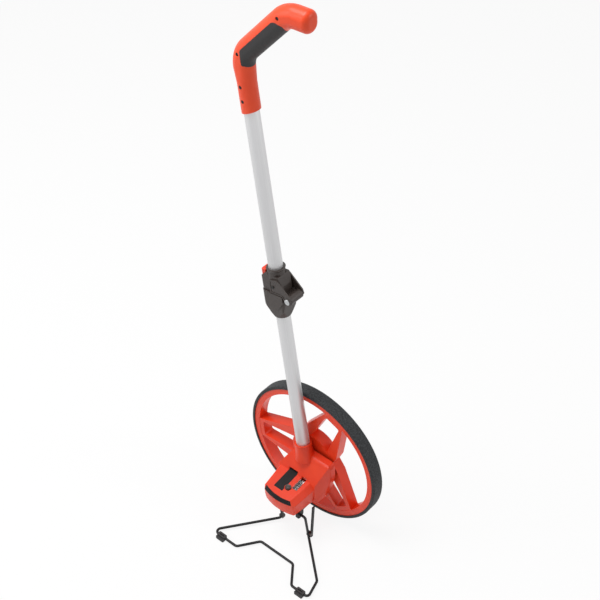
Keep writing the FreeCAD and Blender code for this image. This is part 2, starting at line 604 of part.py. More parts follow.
def joint_parts():
    seat_half = joint_half - cheek_t
    knuckle_half = seat_half - 0.5
    top = joint_part
    r = joint_collar_r
    foot = joint_foot
    block = Part.Face(slab(joint_left, joint_right - 2, joint_half, foot, 8)).extrude(V(0, 0, top - foot))
    side_view = [V(-r, -40, foot), V(r, -40, foot), V(joint_right - 2, -40, foot + 34),
                 V(joint_right - 2, -40, top), V(joint_left, -40, top), V(joint_left, -40, foot + 36)]
    end_view = [V(-60, -r, foot), V(-60, r, foot), V(-60, joint_half, foot + 22), V(-60, joint_half, top),
                V(-60, -joint_half, top), V(-60, -joint_half, foot + 22)]
    lower = block.common(prism(side_view, [0, 0, 12, 0, 0, 12], V(0, 80, 0)))
    lower = lower.common(prism(end_view, [0, 0, 12, 0, 0, 12], V(120, 0, 0)))
    lower = lower.common(Part.makeCone(r, r + 26, 52, V(0, 0, foot)))
    panel = prism([V(-9, -joint_half - 0.8, top - 1), V(21, -joint_half - 0.8, top - 1),
                   V(21, -joint_half - 0.8, top - 14), V(6, -joint_half - 0.8, foot + 16),
                   V(-4, -joint_half - 0.8, foot + 16)], [1, 1, 3, 4, 4], V(0, 2 * joint_half + 1.6, 0))
    lower = lower.fuse(panel)
    arm = box(joint_right - 10, pin_q, -knuckle_half, knuckle_half, pin_s - knuckle_r, top - 1.5)
    eye = Part.makeCylinder(knuckle_r, 2 * knuckle_half, V(pin_q, -knuckle_half, pin_s), V(0, 1, 0))
    lower = lower.fuse([arm.cut(box(pin_q - 2, 60, -30, 30, pin_s + knuckle_r, 500)), eye])
    lower = lower.cut(pin_bore(pin_r + run_gap))
    lower = lower.cut(Part.makeCylinder(tube_r + 0.1, joint_foot + 36, V(0, 0, 0)))
    catch = box(-20.2, -13.6, -5.5, 5.5, joint_part - 13, joint_part + 1)
    notch = box(-22.6, -20.0, -5.5, 5.5, joint_part - 10.5, joint_part - 4.5)
    lower = lower.cut(catch).cut(notch).removeSplitter()
    save("joint_lower", pole_frame(lower))

    base = joint_part + fold_gap
    shell = Part.Face(slab(joint_left, joint_right - 4, seat_half, base, 6)).extrude(V(0, 0, 34))
    side_view = [V(joint_left, -40, base), V(joint_right - 4, -40, base), V(joint_right - 4, -40, base + 15),
                 V(r, -40, base + 33), V(-r, -40, base + 33), V(joint_left, -40, base + 24)]
    shell = shell.common(prism(side_view, [0, 0, 6, 2, 2, 3], V(0, 80, 0)))
    collar = Part.makeCylinder(r, joint_top - base - 20, V(0, 0, base + 20))
    rim = Part.makeCone(r, r + 1.2, 4, V(0, 0, joint_top - 4))
    upper = shell.fuse([collar, rim])
    upper = upper.cut(Part.makeCylinder(tube_r + 0.1, 80, V(0, 0, base + 8)))
    well = box(joint_left - 5, -13.4, -8.4, 8.4, base + 17, base + 37)
    upper = upper.cut(well)
    upper = upper.cut(box(-20.2, -13.6, -5.5, 5.5, base - 2, base + 18))
    for q, s in cheek_screws():
        upper = upper.cut(Part.makeCylinder(1.2, 80, V(q, -40, s), V(0, 1, 0)))
    save("joint_upper", pole_frame(upper.removeSplitter()))

    outline = [V(-4, 0, base), V(20, 0, base), V(25, 0, pin_s), V(pin_q, 0, pin_s - knuckle_r),
               V(pin_q + knuckle_r, 0, pin_s), V(pin_q + knuckle_r - 2, 0, pin_s + 9),
               V(13, 0, base + 29), V(-4, 0, base + 25)]
    edge = rounded(outline, [2, 2, 5, 6, 5, 4, 4, 3])
    cheek = Part.Face(edge).extrude(V(0, cheek_t, 0)).cut(pin_bore(pin_r + 0.02))
    dish = Part.Face(edge.makeOffset2D(-2.2)).extrude(V(0, 0.7, 0)).cut(pin_bore(6.0))
    for q, s in cheek_screws():
        cheek = cheek.cut(Part.makeCylinder(1.7, 80, V(q, -40, s), V(0, 1, 0)))
    for name, y0 in (("cheek_front", -joint_half), ("cheek_rear", joint_half - cheek_t)):
        hollow = dish.copy()
        hollow.translate(V(0, 0 if y0 < 0 else cheek_t - 0.7, 0))
        plate = cheek.cut(hollow)
        plate.translate(V(0, y0, 0))
        plate = plate.cut(Part.makeCylinder(r + 0.05, 100, V(0, 0, pin_s - 20)))
        save(name, pole_frame(plate))

    pin = Part.makeCylinder(pin_r, 2 * joint_half + 3.0, V(pin_q, -joint_half - 0.02, pin_s), V(0, 1, 0))
    head = Part.makeCylinder(5.2, 1.8, V(pin_q, -joint_half - 1.82, pin_s), V(0, 1, 0))
    head = soften(head, 0.8, lambda e, m: m.y < -joint_half - 1.5)
    head = head.cut(box(pin_q - 6, pin_q + 6, -joint_half - 3, -joint_half - 1.1, pin_s - 0.5, pin_s + 0.5))
    save("hinge_pin", pole_frame(pin.fuse(head).removeSplitter()))
    nut = hexagon(pin_q, pin_s, 9.0, joint_half + 0.05, joint_half + 3.0)
    save("hinge_nut", pole_frame(nut.cut(pin_bore(pin_r + 0.02))))
    for side, tag in ((-1, "front"), (1, "rear")):
        for i, (q, s) in enumerate(cheek_screws()):
            y_face = side * (joint_half - 0.7)
            head = Part.makeCylinder(2.6, 1.2, V(q, y_face + 0.02 * side, s), V(0, side, 0))
            shank = Part.makeCylinder(1.15, 4.0, V(q, y_face + 0.5 * side, s), V(0, -side, 0))
            save("cheek_screw_%s_%d" % (tag, i + 1), pole_frame(head.fuse(shank).removeSplitter()))

    button = box(joint_left - 2.5, -17.6, -8.0, 8.0, base + 17.5, base + 36.0)
    button = soften(button, 3.0, lambda e, m: m.x < joint_left - 2 or (m.x < -18 and m.z > base + 35))
    save("release_button", pole_frame(button))
    hook = box(-19.2, -17.7, -4.5, 4.5, joint_part - 9.5, base + 17.3)
    hook = hook.fuse(box(-21.6, -17.7, -4.5, 4.5, joint_part - 9.5, joint_part - 7.0)).removeSplitter()
    save("latch_hook", pole_frame(hook))
    spring = flat_spring(2.0, 2.8, 0, 3.6)
    spring.rotate(V(0, 0, 0), V(0, 1, 0), 90)
    spring.translate(V(-17.4, 0, base + 27))
    save("latch_spring", pole_frame(spring))


def cheek_screws():
    base = joint_part + fold_gap
    return ((3.0, base + 12.0),)


def tube_parts():
    lower = Part.makeCylinder(tube_r, joint_foot + 35.5 - tube_foot, V(0, 0, tube_foot + 0.3))
    lower = lower.cut(Part.makeCylinder(tube_r - tube_wall, 500, V(0, 0, 0)))
    lower = lower.cut(Part.makeCylinder(1.6, 20, V(0, 0, 31), V(-1, 0, 0)))
    save("lower_tube", pole_frame(lower))
    start = joint_part + fold_gap + 8.4
    upper = Part.makeCylinder(tube_r, grip_bend - 15 - start, V(0, 0, start))
    upper = upper.cut(Part.makeCylinder(tube_r - tube_wall, 900, V(0, 0, 0)))
    for q, s in grip_screws()[:2]:
        upper = upper.cut(Part.makeCylinder(1.6, 14, V(q, 0, s), V(0, -1, 0)))
    save("upper_tube", pole_frame(upper))


# ---------------------------------------------------------------- grip
def grip_section(q, s, angle, inset, swell):
    """Section of the grip, two half circles set apart, where its line points along the angle."""
    a = math.radians(angle)
    side = V(-math.sin(a), 0, math.cos(a))
    centre = V(q, 0, s)
    r = grip_half - inset
    near, far = centre - side * swell, centre + side * swell
    up, down = V(0, r, 0), V(0, -r, 0)
    return Part.Wire([Part.Arc(far + down, far + side * r, far + up).toShape(),
                      Part.makeLine(far + up, near + up),
                      Part.Arc(near + up, near - side * r, near + down).toShape(),
                      Part.makeLine(near + down, far + down)])


def grip_form(inset):
    """Handle body: straight socket, swelling neck, bent bar and a level rounded end."""
    neck = grip_bend - 14
    socket = Part.makeLoft([grip_section(0, grip_foot - 20, 90, inset, 0.2),
                            grip_section(0, neck - 24, 90, inset, 0.2),
                            grip_section(0, neck, 90, inset, grip_swell)], True, True)
    pieces = [socket]
    q, s, angle = 0.0, neck, 90.0
    for kind, size, after in (("bend", grip_bend_r, grip_slant), ("run", grip_run, grip_slant),
                              ("bend", grip_crest_r, grip_tip_angle), ("run", grip_tip - 3 * inset, 0)):
        face = Part.Face(grip_section(q, s, angle, inset, grip_swell))
        a = math.radians(angle)
        if kind == "run":
            ahead = V(math.cos(a), 0, math.sin(a)) * size
            pieces.append(face.extrude(ahead))
            q, s = q + ahead.x, s + ahead.z
        else:
            hub = V(q + math.sin(a) * size, 0, s - math.cos(a) * size)
            pieces.append(face.revolve(hub, V(0, 1, 0), angle - after))
            b = math.radians(after)
            q, s, angle = hub.x - math.sin(b) * size, hub.z + math.cos(b) * size, after
    body = pieces[0].fuse(pieces[1:]).removeSplitter()
    if inset == 0:
        tip = V(q, 0, s)
        body = soften(body, 9.0, lambda e, m: abs((m - tip).dot(V(math.cos(a), 0, math.sin(a)))) < 0.01)
    return body


def insert_zone(grow, half):
    slant = math.radians(grip_slant)
    run = V(math.cos(slant), 0, math.sin(slant))
    up = V(-math.sin(slant), 0, math.cos(slant))
    knee = V(11, 0, grip_bend + 17) + up * (3.0 + grow)
    tip = knee + run * 98
    points = [V(8 - grow, 0, grip_bend - 6 - grow), V(knee.x, 0, knee.z), tip,
              tip + V(16 + grow, 0, -7), tip + V(12, 0, -40), V(60, 0, grip_bend - 30),
              V(12, 0, grip_bend - 6 - grow)]
    points = [p + V(0, -half, 0) for p in points]
    return prism(points, [3, 10, 14, 3, 5, 5, 1], V(0, 2 * half, 0))


def grip_screws():
    return ((-1.0, grip_foot + 20), (-1.0, grip_foot + 44), (3.0, grip_bend + 12), (94.0, grip_bend + 86))


def grip_parts():
    outside = grip_form(0)
    floor_cut = box(-60, 60, -60, 60, grip_foot - 60, grip_foot)
    floor_cut.rotate(V(0, 0, grip_foot), V(0, 1, 0), -13)
    outside = outside.cut(floor_cut)
    bed = 4.0
    pad = outside.cut(grip_form(bed)).common(insert_zone(0, 60))
    save("grip_pad", pole_frame(pad))
    above_tube = box(-60, 300, -60, 60, grip_bend - 20, 1000)
    hollow = grip_form(grip_wall).cut(insert_zone(grip_wall, 60)).common(above_tube)
    deep = grip_form(bed + grip_wall + 0.3).common(above_tube)
    pocket = insert_zone(0.15, 60).cut(grip_form(bed + 0.15))
    body = outside.cut(hollow).cut(deep).cut(pocket)
    body = body.cut(Part.makeCylinder(tube_r + 0.1, grip_bend - 14, V(0, 0, 0)))
    front = body.common(box(-100, 300, -60, -0.05, 600, 1000))
    rear = body.common(box(-100, 300, 0.05, 60, 600, 1000))
    room = grip_form(1.0)
    for i, (q, s) in enumerate(grip_screws()):
        head_y = -grip_half + 1.6 if i < 2 else -grip_half + 2.4
        shank_end = -tube_r + tube_wall + 0.6 if i < 2 else 6.0
        if i >= 2:
            post = Part.makeCylinder(3.6, 40, V(q, -20, s), V(0, 1, 0)).common(room)
            front = front.fuse(post.common(box(-100, 300, -60, -0.05, 600, 1000)))
            rear = rear.fuse(post.common(box(-100, 300, 0.05, 60, 600, 1000)))
        well = Part.makeCylinder(3.1, 20, V(q, head_y, s), V(0, -1, 0))
        bore = Part.makeCylinder(1.55, head_y * -1 + 7, V(q, head_y, s), V(0, 1, 0))
        front = front.cut(well).cut(bore)
        rear = rear.cut(bore)
        head = Part.makeCylinder(2.8, 1.4, V(q, head_y - 0.02, s), V(0, -1, 0))
        head = head.cut(box(q - 3, q + 3, head_y - 3, head_y - 0.9, s - 0.4, s + 0.4))
        shank = Part.makeCylinder(1.5, shank_end - head_y + 0.1, V(q, head_y - 0.1, s), V(0, 1, 0))
        save("grip_screw_%d" % (i + 1), pole_frame(head.fuse(shank).removeSplitter()))
    save("grip_front", pole_frame(front.removeSplitter()))
    save("grip_rear", pole_frame(rear.removeSplitter()))


# ---------------------------------------------------------------- stand
def bent_wire(points, radii, r):
    """Round wire bent through the points: straight runs joined by tangent bends."""
    pieces = []
    start = points[0]
    for i in range(1, len(points) - 1):
        p = points[i]
        a = (points[i - 1] - p).normalize()
        b = (points[i + 1] - p).normalize()
        half = a.getAngle(b) / 2
        reach = radii[i - 1] / math.tan(half)
        centre = p + (a + b).normalize() * (radii[i - 1] / math.sin(half))
        into = p + a * reach
        pieces.append(Part.makeCylinder(r, (into - start).Length, start, into - start))
        ring = Part.Face(Part.Wire(Part.makeCircle(r, into, a)))
        pieces.append(ring.revolve(centre, b.cross(a), 180 - 2 * math.degrees(half)))
        start = p + b * reach
    pieces.append(Part.makeCylinder(r, (points[-1] - start).Length, start, points[-1] - start))
    return pieces[0].fuse(pieces[1:]).removeSplitter()


def bar(start, end, width, thick):
    """Flat strap from start to end, its wide side facing along Y."""
    along = end - start
    across = V(1, 0, 0)
    deep = along.cross(across).normalize()
    across = deep.cross(along).normalize()
    corners = [start + across * (thick / 2 * a) + deep * (width / 2 * b)
               for a, b in ((-1, -1), (1, -1), (1, 1), (-1, 1), (-1, -1))]
    return Part.Face(Part.makePolygon(corners)).extrude(along)


def stand_parts():
    wire_z = 4.6
    left = V(upright_left_x, upright_foot_y, upright_foot_z)
    right = V(upright_right_x, upright_foot_y, upright_foot_z)
    path = [V(lug_left_x + lug_t / 2 + 4, pivot_y, pivot_z), V(left.x, pivot_y, pivot_z), left,
            V(-98, foot_line_y, wire_z), V(-39, foot_line_y, wire_z), V(-12, foot_line_y + 38, wire_z),
            V(66, foot_line_y + 38, wire_z), V(95, foot_line_y, wire_z), V(134, foot_line_y, wire_z),
            V(124, foot_line_y + 37, wire_z + 0.8), right, V(right.x, pivot_y, pivot_z),
            V(lug_right_x - lug_t / 2 - 4, pivot_y, pivot_z)]
    bail = bent_wire(path, [5, 8, 7, 8, 8, 8, 8, 6, 10, 8, 5], wire_r)
    save("stand_wire", bail)
    for name, x in (("foot_left", -75.0), ("foot_right", 116.0)):
        sole = box(x - 9, x + 9, foot_line_y - 8, foot_line_y + 5, 0, wire_z + wire_r + 1.2)
        sole = soften(sole, 2.0, lambda e, m: abs(m.z - 4) < 2)
        sole = sole.cut(box(x - 20, x + 20, foot_line_y - 20, foot_line_y - 3.6, wire_z + 0.6, 20))
        sole = sole.cut(box(x - 5, x + 5, foot_line_y - 1.2, foot_line_y + 1.2, wire_z, 20))
        groove = Part.makeCylinder(wire_r + 0.02, 40, V(x - 20, foot_line_y, wire_z), V(1, 0, 0))
        save(name, sole.cut(groove))
    for name, x_foot, x_head in (("brace_left", left.x - 5.8, left.x + 0.8),
                                 ("brace_right", right.x + 5.8, right.x - 0.8)):
        strap = bar(V(x_foot, upright_foot_y + 2.4, 4), V(x_head, upright_foot_y + 15, floor_z - 2.2), 6.0, 2.5)
        save(name, strap)
        side = 1 if x_foot > 20 else -1
        centre = right if side > 0 else left
        clip = box(-4.2, 8.4, -4.6, 5.2, -5.0, 5.0) if side > 0 else box(-8.4, 4.2, -4.6, 5.2, -5.0, 5.0)
        clip = soften(clip, 1.5, lambda e, m: abs(m.y - 0.3) < 0.1)
        clip.translate(centre + V(0, 0.6, 3.5))
        clip = clip.cut(bail).cut(strap)
        if len(clip.Solids) > 1:
            clip = sorted(clip.Solids, key=lambda s: s.Volume)[-1]
        save(name.replace("brace", "clip"), clip)

    plate_top = floor_z - 0.05
    plate = box(lug_left_x - lug_t / 2, lug_right_x + lug_t / 2, pivot_y - 9, pivot_y + 27, plate_top - 2.5,
                plate_top)
    for x in (lug_left_x, lug_right_x):
        lug = Part.makeCylinder(lug_r, lug_t, V(x - lug_t / 2, pivot_y, pivot_z), V(1, 0, 0))
        lug = lug.fuse(box(x - lug_t / 2, x + lug_t / 2, pivot_y - lug_r, pivot_y + lug_r, pivot_z,
                           plate_top - 1))
        lug = lug.cut(Part.makeCylinder(wire_r + run_gap, 40, V(x - 20, pivot_y, pivot_z), V(1, 0, 0)))
        plate = plate.fuse(lug)
    for x, y in bracket_screws():
        plate = plate.cut(Part.makeCylinder(1.7, 10, V(x, y, plate_top - 8)))
    save("stand_bracket", plate.removeSplitter())
    for i, (x, y) in enumerate(bracket_screws()):
        head = Part.makeCylinder(3.0, 1.5, V(x, y, plate_top - 4.02))
        shank = Part.makeCylinder(1.5, 5.2, V(x, y, plate_top - 3.0))
        save("bracket_screw_%d" % (i + 1), head.fuse(shank).removeSplitter())


os.makedirs("parts", exist_ok=True)
wheel_parts()
axle_parts()
gear_parts()
housing_parts()
joint_parts()
tube_parts()
grip_parts()
stand_parts()
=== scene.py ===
import bpy
import json
import math
from mathutils import Matrix, Vector

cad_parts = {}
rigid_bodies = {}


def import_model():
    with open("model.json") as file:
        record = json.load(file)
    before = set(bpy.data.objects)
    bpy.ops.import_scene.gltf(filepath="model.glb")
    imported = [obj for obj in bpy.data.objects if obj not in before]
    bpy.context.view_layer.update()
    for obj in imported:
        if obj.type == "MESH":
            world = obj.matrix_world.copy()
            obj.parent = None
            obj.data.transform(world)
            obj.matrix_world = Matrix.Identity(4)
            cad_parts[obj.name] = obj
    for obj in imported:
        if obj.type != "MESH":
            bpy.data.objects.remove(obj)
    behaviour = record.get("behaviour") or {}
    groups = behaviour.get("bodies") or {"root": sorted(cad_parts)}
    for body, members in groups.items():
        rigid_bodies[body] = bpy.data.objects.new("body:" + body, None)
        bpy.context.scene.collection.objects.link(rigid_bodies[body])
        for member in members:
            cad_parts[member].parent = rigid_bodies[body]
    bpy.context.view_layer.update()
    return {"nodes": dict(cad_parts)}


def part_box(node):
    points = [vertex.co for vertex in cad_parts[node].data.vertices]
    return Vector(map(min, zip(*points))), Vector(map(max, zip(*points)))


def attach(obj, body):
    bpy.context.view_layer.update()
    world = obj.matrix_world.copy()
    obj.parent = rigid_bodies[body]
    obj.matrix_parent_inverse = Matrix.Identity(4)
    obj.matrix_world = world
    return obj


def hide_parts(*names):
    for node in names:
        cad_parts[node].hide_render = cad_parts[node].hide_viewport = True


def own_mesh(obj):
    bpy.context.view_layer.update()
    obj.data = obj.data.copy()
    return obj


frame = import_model()


# Tyre: a solid band of moulded rubber, stretched over the wheel's rim and
# keyed in it by a rib. Carbon black makes it charcoal and dull, and road dust
# mottles it in patches of about 3 mm.
def linear(code):
    """Linear colour of an sRGB hex value."""
    out = []
    for i in (0, 2, 4):
        c = int(code[i:i + 2], 16) / 255
        out.append(c / 12.92 if c <= 0.04045 else ((c + 0.055) / 1.055) ** 2.4)
    return (*out, 1.0)


def add(tree, kind, inputs=None, **settings):
    """Add a node; an input is a value, or the socket that it is linked to."""
    made = tree.nodes.new(kind)
    for name, value in settings.items():
        setattr(made, name, value)
    for name, value in (inputs or {}).items():
        if isinstance(value, bpy.types.NodeSocket):
            tree.links.new(value, made.inputs[name])
        else:
            made.inputs[name].default_value = value
    return made


def new_material(name):
    """Start a material; return it and its empty node tree."""
    mat = bpy.data.materials.new(name)
    mat.use_nodes = True
    mat.node_tree.nodes.clear()
    return mat, mat.node_tree


def pick(piece):
    """Select one piece and make it the active one."""
    bpy.ops.object.select_all(action="DESELECT")
    piece.select_set(True)
    bpy.context.view_layer.objects.active = piece


def work(piece, kind, **settings):
    """Apply one modifier to the picked piece."""
    change = piece.modifiers.new(kind.lower(), kind)
    for name, value in settings.items():
        setattr(change, name, value)
    bpy.ops.object.modifier_apply(modifier=change.name)


def ease(piece, radius, turn):
    """Round the edges that turn by more than some degrees. The radius is in mm."""
    work(piece, "BEVEL", width=radius / 1000, segments=2, limit_method="ANGLE",
         angle_limit=math.radians(turn))


weld_reach = 0.00001
same_plane = math.radians(0.4)
smooth_turn = 34


def eased(mat, radius, *names, turn=38):
    """Put smooth copies with eased edges in place of CAD pieces; return the last."""
    for name in names:
        mesh = frame["nodes"][name].data.copy()
        piece = bpy.data.objects.new(name + "_eased", mesh)
        bpy.context.scene.collection.objects.link(piece)
        pick(piece)
        bpy.ops.object.mode_set(mode="EDIT")
        bpy.ops.mesh.select_all(action="SELECT")
        bpy.ops.mesh.remove_doubles(threshold=weld_reach)
        bpy.ops.mesh.dissolve_limited(angle_limit=same_plane)
        bpy.ops.object.mode_set(mode="OBJECT")
        if radius:
            ease(piece, radius, turn)
        # What turns a little less than an eased edge is still an edge.
        bpy.ops.object.shade_smooth_by_angle(angle=math.radians(turn - 4))
        work(piece, "WEIGHTED_NORMAL", keep_sharp=True)
        mesh.materials.clear()
        mesh.materials.append(mat)
        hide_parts(name)
        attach(piece, frame["nodes"][name].parent.name.split(":")[-1])
    return piece


tyre_rubber, tree = new_material("moulded_tyre_rubber")
where = add(tree, "ShaderNodeTexCoord").outputs["Object"]
dust = add(tree, "ShaderNodeTexNoise", {"Vector": where, "Scale": 1000 / 3.2, "Detail": 6.0,
                                       "Roughness": 0.7})
patch = add(tree, "ShaderNodeMapRange", {0: dust.outputs["Fac"], 1: 0.38, 2: 0.62})
tone = add(tree, "ShaderNodeMix", {0: patch.outputs[0], 6: linear("131416"), 7: linear("3E4042")},
           data_type="RGBA")
dull = add(tree, "ShaderNodeMapRange", {0: dust.outputs["Fac"], 3: 0.58, 4: 0.86})
grain = add(tree, "ShaderNodeTexNoise", {"Vector": where, "Scale": 1000 / 2.4, "Detail": 3.0})
pores = add(tree, "ShaderNodeBump", {"Height": grain.outputs["Fac"], "Strength": 0.6, "Distance": 0.0008})
skin = add(tree, "ShaderNodeBsdfPrincipled", {"Base Color": tone.outputs[2], "Roughness": dull.outputs[0],
                                             "Normal": pores.outputs[0], "IOR": 1.52,
                                             "Specular IOR Level": 0.35})
add(tree, "ShaderNodeOutputMaterial", {"Surface": skin.outputs[0]})
eased(tyre_rubber, 0, "tyre")


# Wheel: one ABS moulding with a channel rim, a cupped hub and three pierced
# spokes. The tool is etched in grains under a millimetre, so the red has a
# satin sheen, and flow marks shift its tone every 45 mm or so.
red_abs, tree = new_material("satin_moulded_abs_red")
where = add(tree, "ShaderNodeTexCoord").outputs["Object"]
flow = add(tree, "ShaderNodeTexNoise", {"Vector": where, "Scale": 1000 / 45, "Detail": 4.0,
                                       "Roughness": 0.55})
tone = add(tree, "ShaderNodeMix", {0: flow.outputs["Fac"], 6: linear("DE3013"), 7: linear("F24920")},
           data_type="RGBA")
sheen = add(tree, "ShaderNodeMapRange", {0: flow.outputs["Fac"], 3: 0.30, 4: 0.44})
etch = add(tree, "ShaderNodeTexNoise", {"Vector": where, "Scale": 1000 / 0.77, "Detail": 2.0})
grain = add(tree, "ShaderNodeBump", {"Height": etch.outputs["Fac"], "Strength": 0.18,
                                    "Distance": 0.00025})
skin = add(tree, "ShaderNodeBsdfPrincipled", {"Base Color": tone.outputs[2], "Roughness": sheen.outputs[0],
                                             "Normal": grain.outputs[0], "IOR": 1.54,
                                             "Specular IOR Level": 0.32})
add(tree, "ShaderNodeOutputMaterial", {"Surface": skin.outputs[0]})
eased(red_abs, 0.6, "wheel")


# Axle, pins, nuts, shaft and hook: turned and pressed steel, zinc plated and
# bright. The plating clouds the shine in patches of about 4 mm.
zinc, tree = new_material("zinc_plated_steel")
where = add(tree, "ShaderNodeTexCoord").outputs["Object"]
cloud = add(tree, "ShaderNodeTexNoise", {"Vector": where, "Scale": 1000 / 3.8, "Detail": 5.0})
tone = add(tree, "ShaderNodeMix", {0: cloud.outputs["Fac"], 6: linear("A9ABAD"), 7: linear("D0D2D3")},
           data_type="RGBA")
gloss = add(tree, "ShaderNodeMapRange", {0: cloud.outputs["Fac"], 3: 0.22, 4: 0.40})
skin = add(tree, "ShaderNodeBsdfPrincipled", {"Base Color": tone.outputs[2], "Metallic": 1.0,
                                             "Roughness": gloss.outputs[0]})
add(tree, "ShaderNodeOutputMaterial", {"Surface": skin.outputs[0]})
eased(zinc, 0.2, "axle", "axle_nut", "axle_washer", "hinge_pin", "hinge_nut", "collar_screw")
eased(zinc, 0, "drum_shaft", "latch_hook")


# Springs: two small coils of plated wire, one behind the release button and one under the reset knob. A
# press squeezes each against its seat, square to the leaning pole or to the sloping top face; these
# directions are worked out here, but the coils only get smooth copies of their own and are not squeezed.
pole_lean = math.radians(8.8)
top_slope = math.radians(9.0)
latch_way = Vector((math.cos(pole_lean), 0, math.sin(pole_lean)))
reset_way = Vector((0, math.sin(top_slope), -math.cos(top_slope)))
for name, joint, axis, keep in (("latch_spring", "release_press", latch_way, 0.15),
                                ("reset_spring", "reset_press", reset_way, 0.44)):
    coil = eased(zinc, 0, name)
    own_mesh(coil)


# Axle bushes: flanged sleeves of sintered bronze that carry the axle in the
# housing. The powder shows as a speckle under a millimetre.
bronze, tree = new_material("sintered_bronze")
where = add(tree, "ShaderNodeTexCoord").outputs["Object"]
speck = add(tree, "ShaderNodeTexNoise", {"Vector": where, "Scale": 1000 / 0.67, "Detail": 3.0})
tone = add(tree, "ShaderNodeMix", {0: speck.outputs["Fac"], 6: linear("8A6236"), 7: linear("B98A4E")},
           data_type="RGBA")
skin = add(tree, "ShaderNodeBsdfPrincipled", {"Base Color": tone.outputs[2], "Metallic": 1.0,
                                             "Roughness": 0.48})
add(tree, "ShaderNodeOutputMaterial", {"Surface": skin.outputs[0]})
eased(bronze, 0.15, "axle_bush_front", "axle_bush_rear")


# Gears: the axle gear and the lay gear that drive the counter, moulded in
# acetal without pigment, which is milky white and slides without oil.
acetal, tree = new_material("natural_acetal")
where = add(tree, "ShaderNodeTexCoord").outputs["Object"]
milk = add(tree, "ShaderNodeTexNoise", {"Vector": where, "Scale": 1000 / 8.3, "Detail": 3.0})
tone = add(tree, "ShaderNodeMix", {0: milk.outputs["Fac"], 6: linear("DAD8CF"), 7: linear("ECEAE3")},
           data_type="RGBA")
skin = add(tree, "ShaderNodeBsdfPrincipled", {"Base Color": tone.outputs[2], "Roughness": 0.42, "IOR": 1.48})
add(tree, "ShaderNodeOutputMaterial", {"Surface": skin.outputs[0]})
eased(acetal, 0, "axle_gear", "lay_gear", turn=30)


# Housing and release button: the same red ABS as the wheel. The housing is an
# open-backed shell that a black plate closes; the button slides in the joint.
shell = eased(red_abs, 0.5, "housing")
eased(red_abs, 0.4, "release_button")


# Lip of the housing: the nose's curved lip is bevelled on a cone round the
# front's own axis, so that the bed for the strip keeps one width all the way
# along. The tool is the part of a cylinder that lies outside that cone.
front_r, front_reach = 0.094, 0.020
strip_slope = math.radians(42.0)
strip_foot = 0.0475
front_rise = front_reach * math.tan(strip_slope)
front_frame = (Matrix.Translation((-0.001, -0.0095, 0.075)) @ Matrix.Rotation(math.radians(10.0), 4, "X")
               @ Matrix.Translation((0, 0, strip_foot)))
cone_spare = 1.2
tool_spare = 0.005
lip_back = -0.062


def cut(piece, tool):
    """Cut a tool out of a piece, which stays picked, and throw the tool away."""
    pick(piece)
    work(piece, "BOOLEAN", operation="DIFFERENCE", solver="EXACT", object=tool)
    bpy.data.objects.remove(tool, do_unlink=True)


bpy.ops.object.select_all(action="DESELECT")
bpy.ops.mesh.primitive_cone_add(vertices=360, radius1=front_r + cone_spare * front_reach,
                                radius2=front_r - cone_spare * front_reach,
                                depth=2 * cone_spare * front_rise)
bevel_cone = bpy.context.object
bpy.ops.object.select_all(action="DESELECT")
bpy.ops.mesh.primitive_cylinder_add(vertices=120, radius=front_r + front_reach + tool_spare,
                                    depth=2 * front_rise)
beyond = bpy.context.object
cut(beyond, bevel_cone)
bpy.ops.object.mode_set(mode="EDIT")
bpy.ops.mesh.select_all(action="SELECT")
bpy.ops.mesh.bisect(plane_co=(0, lip_back, 0), plane_no=(0, 1, 0), clear_outer=True, use_fill=True)
bpy.ops.object.mode_set(mode="OBJECT")
beyond.data.transform(front_frame)
cut(shell, beyond)
bpy.ops.object.shade_smooth_by_angle(angle=math.radians(smooth_turn))
work(shell, "WEIGHTED_NORMAL", keep_sharp=True)


# Black mouldings: the two halves of the folding joint and their cheeks, the
# rear and gear plates, the counter's frame and the knob's seat. Glass-filled
# nylon comes out brownish black, and its fibres mottle the skin.
def dress(mat, *names):
    """Give CAD pieces their finish as they are."""
    for name in names:
        for slot in frame["nodes"][name].material_slots:
            slot.material = mat


dark_nylon, tree = new_material("glass_filled_nylon_dark")
where = add(tree, "ShaderNodeTexCoord").outputs["Object"]
fibre = add(tree, "ShaderNodeTexNoise", {"Vector": where, "Scale": 1000 / 5.6, "Detail": 6.0,
                                        "Roughness": 0.65})
tone = add(tree, "ShaderNodeMix", {0: fibre.outputs["Fac"], 6: linear("1C1614"), 7: linear("463B36")},
           data_type="RGBA")
dull = add(tree, "ShaderNodeMapRange", {0: fibre.outputs["Fac"], 3: 0.34, 4: 0.56})
etch = add(tree, "ShaderNodeTexNoise", {"Vector": where, "Scale": 1000 / 0.91, "Detail": 2.0})
grain = add(tree, "ShaderNodeBump", {"Height": etch.outputs["Fac"], "Strength": 0.25, "Distance": 0.0003})
skin = add(tree, "ShaderNodeBsdfPrincipled", {"Base Color": tone.outputs[2], "Roughness": dull.outputs[0],
                                             "Normal": grain.outputs[0], "IOR": 1.53})
add(tree, "ShaderNodeOutputMaterial", {"Surface": skin.outputs[0]})
eased(dark_nylon, 0.7, "joint_lower", "joint_upper", "cheek_front", "cheek_rear")
eased(dark_nylon, 0.4, "rear_plate")
dress(dark_nylon, "gear_plate", "counter_frame", "reset_seat")


# Clips: two slim sleeves of the same nylon that hold the straps' ends on the
# stand's wire. They are drawn smaller than the plain model has them.
clip_share = 0.72
for side in ("left", "right"):
    clip = eased(dark_nylon, 0.25, "clip_" + side)
    low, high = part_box("clip_" + side)
    middle = (low + high) / 2
    clip.data.transform(Matrix.Translation(middle) @ Matrix.Scale(clip_share, 4)
                        @ Matrix.Translation(-middle))


